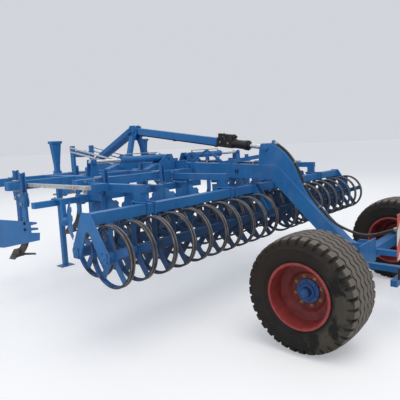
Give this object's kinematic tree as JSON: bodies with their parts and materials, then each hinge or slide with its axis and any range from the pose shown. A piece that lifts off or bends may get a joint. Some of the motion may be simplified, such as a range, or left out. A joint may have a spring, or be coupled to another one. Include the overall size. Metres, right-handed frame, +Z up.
{
  "type": "semi-mounted folding field cultivator",
  "caption": "Folding tine cultivator with levelling discs, double ring roller and a rear transport carriage under a gooseneck arm",
  "frame": {"origin": "on the floor, midway between both ends and both sides", "axes": "+X right, +Y direction of travel, +Z up"},
  "size_m": [5.2, 6.1, 2.227],
  "materials": {
    "blue_paint": "gloss",
    "red_paint": "satin",
    "tyre_rubber": "matte",
    "tine_steel": "matte",
    "roller_steel": "worn",
    "chrome_rod": "polished",
    "bare_steel": "worn",
    "hose_rubber": "matte",
    "black_paint": "satin",
    "board_panel": "gloss",
    "lamp_plastic": "gloss"
  },
  "bodies": {
    "frame": {"main_frame": "blue_paint", "hinge_brackets": "blue_paint", "tower": "blue_paint", "headstock": "blue_paint", "mast": "blue_paint", "link_shaft": "tine_steel", "stay_bars": "blue_paint", "stand_sleeves": "blue_paint"},
    "strut": {"strut": "blue_paint", "strut_pipe": "black_paint", "valve_block": "black_paint", "lift_barrel": "black_paint"},
    "lift_rod": {"lift_rod": "chrome_rod"},
    "carriage": {"gooseneck": "blue_paint", "axle": "blue_paint", "light_bar": "blue_paint", "warning_board_left": "board_panel", "warning_board_right": "board_panel", "rear_lamps": "lamp_plastic", "hose_gooseneck": "hose_rubber"},
    "wheel_left": {"tyre_left": "tyre_rubber", "rim_left": "red_paint", "hub_left": "blue_paint"},
    "wing_left": {"wing_frame_left": "blue_paint", "tines_front_left": "tine_steel", "tines_middle_left": "tine_steel", "tines_rear_left": "tine_steel", "side_board_left": "blue_paint", "side_rod_left": "bare_steel", "disc_beam_left": "blue_paint", "levelling_discs_left": "blue_paint", "roller_carrier_left": "blue_paint"},
    "rear_roller_left": {"rear_roller_left": "roller_steel"},
    "front_roller_left": {"front_roller_left": "roller_steel"},
    "fold_barrel_left": {"fold_barrel_left": "blue_paint"},
    "fold_rod_left": {"fold_rod_left": "chrome_rod"},
    "stand_left": {"stand_left": "blue_paint"},
    "wheel_right": {"tyre_right": "tyre_rubber", "rim_right": "red_paint", "hub_right": "blue_paint"},
    "wing_right": {"wing_frame_right": "blue_paint", "tines_front_right": "tine_steel", "tines_middle_right": "tine_steel", "tines_rear_right": "tine_steel", "side_board_right": "blue_paint", "side_rod_right": "bare_steel", "disc_beam_right": "blue_paint", "levelling_discs_right": "blue_paint", "roller_carrier_right": "blue_paint"},
    "rear_roller_right": {"rear_roller_right": "roller_steel"},
    "front_roller_right": {"front_roller_right": "roller_steel"},
    "fold_barrel_right": {"fold_barrel_right": "blue_paint"},
    "fold_rod_right": {"fold_rod_right": "chrome_rod"},
    "stand_right": {"stand_right": "blue_paint"}
  },
  "joints": [
    {"name": "carriage_lift", "type": "hinge", "parent": "frame", "child": "carriage", "pos_m": [0, 0.2, 1.535], "axis": [-1, 0, 0], "range_deg": [0, 16]},
    {"name": "strut_swing", "type": "hinge", "parent": "frame", "child": "strut", "pos_m": [0, 1.3, 2.142], "axis": [-1, 0, 0], "range_deg": [0, 8.7]},
    {"name": "lift_rod_slide", "type": "slide", "parent": "strut", "child": "lift_rod", "axis": [0, 0.9908, 0.1356], "range_m": [0, 0.152]},
    {"name": "wheel_left_spin", "type": "hinge", "parent": "carriage", "child": "wheel_left", "pos_m": [-1.25, -2.4, 0.533], "axis": [1, 0, 0], "continuous": true},
    {"name": "fold_left", "type": "hinge", "parent": "frame", "child": "wing_left", "pos_m": [-0.42, 0.855, 1.6], "axis": [0, 1, 0], "range_deg": [0, 90]},
    {"name": "fold_barrel_left_swing", "type": "hinge", "parent": "frame", "child": "fold_barrel_left", "pos_m": [-0.25, 0.42, 1.72], "axis": [0, 1, 0], "range_deg": [0, 87.1]},
    {"name": "fold_rod_left_slide", "type": "slide", "parent": "fold_barrel_left", "child": "fold_rod_left", "axis": [1, 0, 0], "range_m": [0, 0.289]},
    {"name": "rear_roller_left_spin", "type": "hinge", "parent": "wing_left", "child": "rear_roller_left", "pos_m": [-1.3, -1.184, 0.965], "axis": [1, 0, 0], "continuous": true},
    {"name": "front_roller_left_spin", "type": "hinge", "parent": "wing_left", "child": "front_roller_left", "pos_m": [-1.3, -0.77, 0.965], "axis": [1, 0, 0], "continuous": true},
    {"name": "stand_left_slide", "type": "slide", "parent": "frame", "child": "stand_left", "axis": [0, 0, 1], "range_m": [0, 0.5]},
    {"name": "wheel_right_spin", "type": "hinge", "parent": "carriage", "child": "wheel_right", "pos_m": [1.25, -2.4, 0.533], "axis": [1, 0, 0], "continuous": true},
    {"name": "fold_right", "type": "hinge", "parent": "frame", "child": "wing_right", "pos_m": [0.42, 0.855, 1.6], "axis": [0, -1, 0], "range_deg": [0, 90]},
    {"name": "fold_barrel_right_swing", "type": "hinge", "parent": "frame", "child": "fold_barrel_right", "pos_m": [0.25, 0.42, 1.72], "axis": [0, -1, 0], "range_deg": [0, 87.1]},
    {"name": "fold_rod_right_slide", "type": "slide", "parent": "fold_barrel_right", "child": "fold_rod_right", "axis": [-1, 0, 0], "range_m": [0, 0.289]},
    {"name": "rear_roller_right_spin", "type": "hinge", "parent": "wing_right", "child": "rear_roller_right", "pos_m": [1.3, -1.184, 0.965], "axis": [1, 0, 0], "continuous": true},
    {"name": "front_roller_right_spin", "type": "hinge", "parent": "wing_right", "child": "front_roller_right", "pos_m": [1.3, -0.77, 0.965], "axis": [1, 0, 0], "continuous": true},
    {"name": "stand_right_slide", "type": "slide", "parent": "frame", "child": "stand_right", "axis": [0, 0, 1], "range_m": [0, 0.5]}
  ],
  "couplings": [
    {"joint": "strut_swing", "follows": "carriage_lift", "ratio": 0.5376},
    {"joint": "lift_rod_slide", "follows": "carriage_lift", "m_per_rad": 0.5386},
    {"joint": "fold_barrel_left_swing", "follows": "fold_left", "ratio": 0.9669},
    {"joint": "fold_rod_left_slide", "follows": "fold_left", "m_per_rad": 0.1837},
    {"joint": "fold_barrel_right_swing", "follows": "fold_right", "ratio": 0.9669},
    {"joint": "fold_rod_right_slide", "follows": "fold_right", "m_per_rad": 0.1837}
  ]
}
